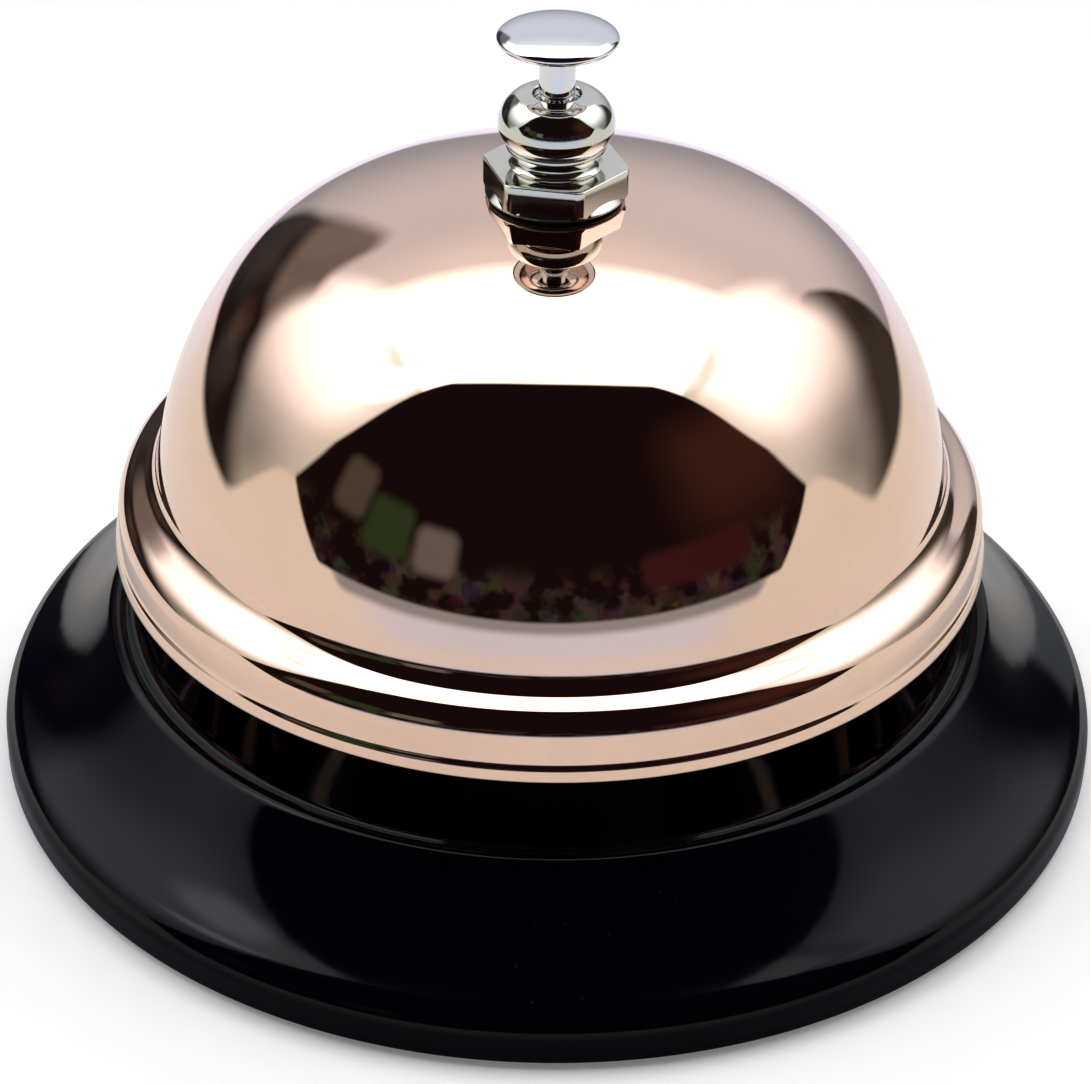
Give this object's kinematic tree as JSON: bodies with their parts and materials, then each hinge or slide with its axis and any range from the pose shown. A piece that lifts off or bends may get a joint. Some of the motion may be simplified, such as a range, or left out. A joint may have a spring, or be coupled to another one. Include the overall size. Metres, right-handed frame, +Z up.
{
  "type": "service bell",
  "caption": "Counter bell: plated dome with a skirt over a flared glossy black base, hexagon cap nut and push button that tips a pivoted striker inside.",
  "frame": {"origin": "on the counter top, on the bell's vertical axis", "axes": "+Z up along the bell's axis, +X towards the side where the striker's hammer hangs, right-handed, metres"},
  "size_m": [0.085, 0.085, 0.0584],
  "materials": {
    "black_gloss": "high gloss black",
    "rose_plate": "mirror polished rose gold plating",
    "pale_plate": "polished pale gold plating",
    "chrome_plate": "mirror polished plating",
    "zinc_sheet": "bright zinc plated sheet",
    "zinc_fastener": "bright zinc plated",
    "rivet_steel": "bright steel",
    "rod_steel": "ground steel",
    "spring_steel": "blued spring steel",
    "spring_wire": "bright drawn wire",
    "hammer_brass": "turned brass",
    "rubber_pad": "matt foam rubber",
    "fibre_washer": "red vulcanised fibre",
    "black_washer": "thin black gasket",
    "pale_nylon": "natural nylon"
  },
  "bodies": {
    "base": {"base_shell": "black_gloss", "bottom_plate": "zinc_sheet", "foot_pad": "rubber_pad", "plate_screws": "zinc_fastener", "mechanism_bracket": "zinc_sheet", "bracket_rivets": "rivet_steel", "centre_post": "zinc_fastener", "post_lock_washer": "zinc_fastener", "post_lock_nut": "zinc_fastener", "dome_seat_nut": "zinc_fastener", "dome_lower_washer": "fibre_washer", "bell_dome": "rose_plate", "dome_upper_washer": "black_washer", "cap_nut": "pale_plate", "pivot_pin": "zinc_fastener", "pivot_clip": "spring_steel", "pivot_spacers": "pale_nylon", "return_spring": "spring_wire"},
    "plunger": {"push_button": "chrome_plate", "plunger_rod": "rod_steel", "rod_clip": "spring_steel"},
    "striker": {"striker_arm": "zinc_sheet", "striker_hammer": "hammer_brass"}
  },
  "joints": [
    {"name": "button_press", "type": "slide", "parent": "base", "child": "plunger", "axis": [0, 0, -1], "range_m": [0, 0.0026], "stiffness_N_per_m": 250, "springref_m": -0.002, "deforming": ["return_spring"]},
    {"name": "striker_swing", "type": "hinge", "parent": "base", "child": "striker", "pos_m": [0.006, 0, 0.028], "axis": [0, -1, 0], "range_deg": [0, 26]}
  ],
  "couplings": [
    {"joint": "striker_swing", "follows": "button_press", "rad_per_m": 172.4}
  ]
}
